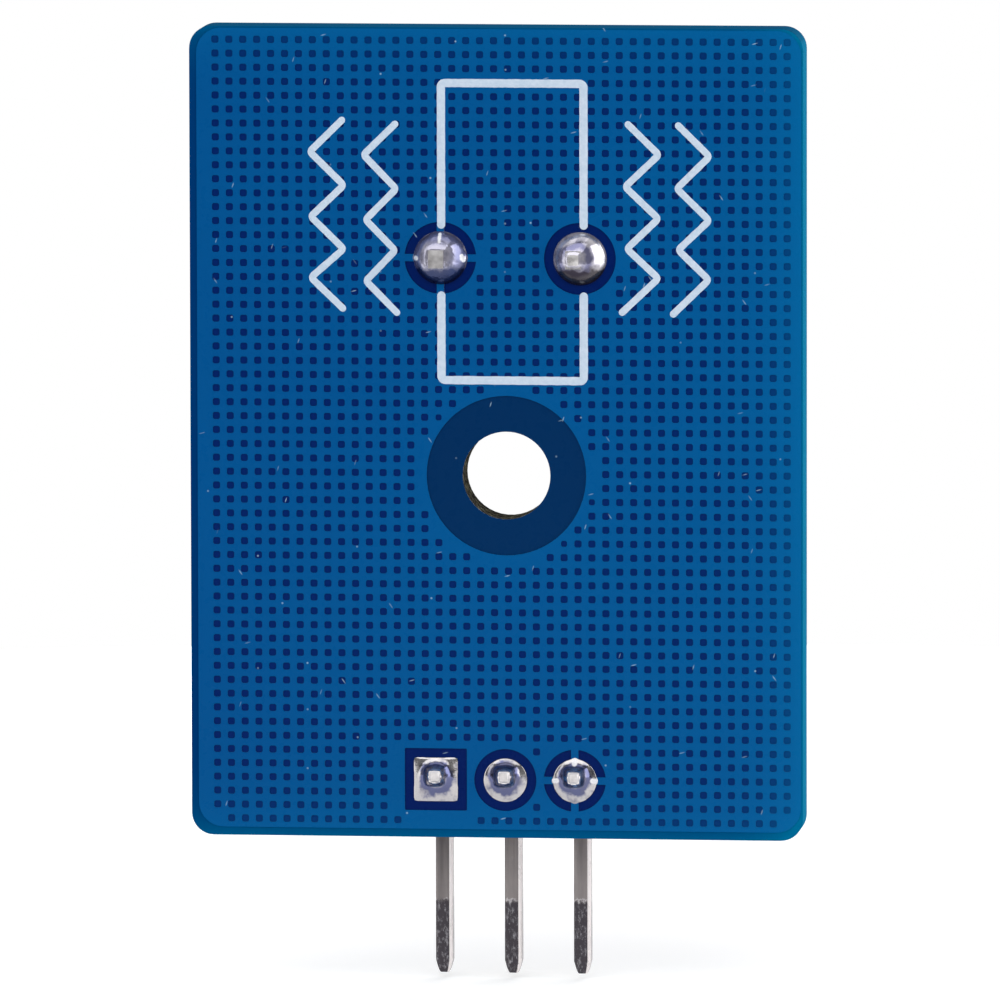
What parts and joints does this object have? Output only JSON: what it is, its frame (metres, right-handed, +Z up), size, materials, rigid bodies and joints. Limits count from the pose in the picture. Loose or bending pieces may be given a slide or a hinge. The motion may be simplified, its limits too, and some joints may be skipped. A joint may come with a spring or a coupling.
{
  "type": "vibration switch sensor module",
  "caption": "Small blue circuit board with a sealed ball vibration switch, a right-angle pin header and a central screw hole.",
  "frame": {"origin": "centre of the mounting hole, on the laminate's solder side", "axes": "+Z up along the board, away from the header pins; +Y towards the component side; +X right as seen from the solder side"},
  "size_m": [0.0223, 0.0128, 0.0349],
  "materials": {
    "laminate": "cut glass-epoxy edge, satin",
    "copper": "bare copper",
    "mask": "glossy blue solder mask",
    "ink": "white printed ink",
    "solder": "bright tin solder",
    "pin_metal": "tinned, drawn, light scratches",
    "header_plastic": "black moulded plastic",
    "case_plastic": "black moulded plastic, fine grain",
    "potting": "dark epoxy",
    "insulator": "natural nylon",
    "gold": "gold plated",
    "alumina": "white alumina",
    "resistor_glaze": "black glaze",
    "capacitor_ceramic": "tan fired ceramic",
    "lead_tin": "dull tinned lead",
    "chip_tin": "tinned chip ends"
  },
  "bodies": {
    "board": {"circuit_board": "laminate", "back_copper_pour": "copper", "back_solder_mask": "mask", "back_silkscreen": "ink", "header_plated_holes": "copper", "switch_plated_holes": "copper", "header_solder_joints": "solder", "switch_solder_joints": "solder", "signal_pin": "pin_metal", "supply_pin": "pin_metal", "ground_pin": "pin_metal", "header_body": "header_plastic", "signal_terminal": "lead_tin", "ground_terminal": "lead_tin", "front_copper_tracks": "copper", "front_solder_mask": "mask", "front_silkscreen": "ink", "switch_housing": "case_plastic", "switch_base": "header_plastic", "switch_seal": "potting", "contact_chamber": "insulator", "resistor_body": "alumina", "resistor_coat": "resistor_glaze", "resistor_end_caps": "chip_tin", "capacitor_body": "capacitor_ceramic", "capacitor_end_caps": "chip_tin", "chip_solder_fillets": "solder"},
    "ball": {"contact_ball": "gold"}
  },
  "joints": [
    {"name": "ball_lift", "type": "slide", "parent": "board", "child": "ball", "axis": [0, 0, 1], "range_m": [0, 0.0006]}
  ]
}
